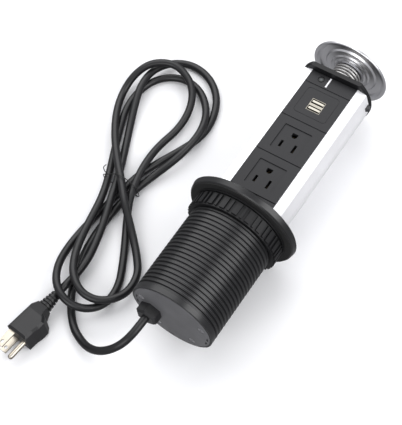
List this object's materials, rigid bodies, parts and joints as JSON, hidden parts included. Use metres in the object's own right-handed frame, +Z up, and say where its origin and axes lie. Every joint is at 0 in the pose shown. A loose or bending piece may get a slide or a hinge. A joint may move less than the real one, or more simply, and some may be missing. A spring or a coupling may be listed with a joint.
{
  "type": "pop up desk socket",
  "caption": "Pop up desk socket, pulled out: silver column with two grounded outlets and two charging ports, threaded sleeve with lock ring, chrome lid, and a tied hank of cord with its plug.",
  "frame": {"origin": "middle of the socket's box, cord left out, on the plane that the flange's rim and the cord lie on", "axes": "+Y along the column from the cable gland to the lid, +Z up out of the outlet faces, +X to the right of the outlets"},
  "size_m": [0.2428, 0.3754, 0.1024],
  "materials": {
    "sleeve_plastic": "semi-matt moulded black",
    "flange_plastic": "fine-textured dark grey",
    "ring_plastic": "semi-matt moulded black",
    "gasket_rubber": "soft matt",
    "silver_column": "fine satin silver coat",
    "cap_black": "satin black",
    "panel_grey": "fine satin dark grey",
    "chrome_lid": "polished",
    "steel_spring": "drawn wire",
    "zinc_steel": "zinc plated",
    "port_steel": "nickel plated, dark inside",
    "foot_grey": "satin grey",
    "gland_plastic": "moulded black",
    "button_plastic": "black with a grey middle",
    "strip_plastic": "translucent white",
    "tongue_plastic": "moulded white",
    "board_green": "glass fibre board with moulded parts",
    "contact_brass": "pressed strip",
    "inner_plastic": "moulded ivory",
    "catch_plastic": "moulded black",
    "wire_black": "insulated wire",
    "wire_white": "insulated wire",
    "wire_green": "insulated wire",
    "cord_black": "soft satin jacket",
    "plug_black": "moulded on the cord",
    "plug_metal": "nickel plated brass",
    "tie_black": "coated wire"
  },
  "bodies": {
    "sleeve": {"threaded_sleeve": "sleeve_plastic", "guide_collar": "flange_plastic", "flange_gasket": "gasket_rubber"},
    "column": {"column_shell": "silver_column", "top_cap": "cap_black", "cap_screws": "zinc_steel", "lid_spring": "steel_spring", "foot_plate": "foot_grey", "foot_screws": "zinc_steel", "cable_gland": "gland_plastic", "gland_locknut": "gland_plastic", "switch_panel": "panel_grey", "indicator_strip": "strip_plastic", "power_switch": "inner_plastic", "usb_panel": "panel_grey", "usb_shell": "port_steel", "usb_tongues": "tongue_plastic", "usb_board": "board_green", "outlet_face_upper": "panel_grey", "outlet_face_lower": "panel_grey", "contact_carrier": "inner_plastic", "line_contact": "contact_brass", "neutral_contact": "contact_brass", "ground_contact": "contact_brass", "filler_panel": "panel_grey", "catch_guide": "inner_plastic", "catch_spring": "steel_spring", "line_wire": "wire_black", "neutral_wire": "wire_white", "ground_wire": "wire_green", "plug_relief": "plug_black", "plug_body": "plug_black", "line_blade": "plug_metal", "neutral_blade": "plug_metal", "ground_pin": "plug_metal", "cord_lead": "cord_black", "cord_hank": "cord_black", "twist_tie": "tie_black"},
    "clamp_washer": {"clamp_washer": "ring_plastic"},
    "lock_ring": {"lock_ring": "ring_plastic"},
    "lid": {"lid": "chrome_lid", "lid_stem": "zinc_steel", "retaining_clip": "zinc_steel"},
    "power_button": {"power_button": "button_plastic"},
    "catch": {"catch": "catch_plastic"}
  },
  "joints": [
    {"name": "column_slide", "type": "slide", "parent": "sleeve", "child": "column", "axis": [0, 1, 0], "range_m": [-0.1473, 0]},
    {"name": "ring_turn", "type": "hinge", "parent": "clamp_washer", "child": "lock_ring", "pos_m": [0, -0.0452, 0.0512], "axis": [0, 1, 0], "range_deg": [-7200, 0]},
    {"name": "washer_travel", "type": "slide", "parent": "sleeve", "child": "clamp_washer", "axis": [0, 1, 0], "range_m": [-0.081, 0.001]},
    {"name": "lid_press", "type": "slide", "parent": "column", "child": "lid", "axis": [0, 1, 0], "range_m": [-0.003, 0], "stiffness_N_per_m": 3000, "springref_m": 0.001, "deforming": ["lid_spring"]},
    {"name": "button_press", "type": "slide", "parent": "column", "child": "power_button", "axis": [0, 0, -1], "range_m": [0, 0.0012], "stiffness_N_per_m": 400, "springref_m": -0.001},
    {"name": "catch_press", "type": "slide", "parent": "column", "child": "catch", "axis": [-1, 0, 0], "range_m": [0, 0.0026], "stiffness_N_per_m": 400, "springref_m": -0.001, "deforming": ["catch_spring"]}
  ],
  "couplings": [
    {"joint": "washer_travel", "follows": "ring_turn", "m_per_rad": 0.00063662}
  ]
}
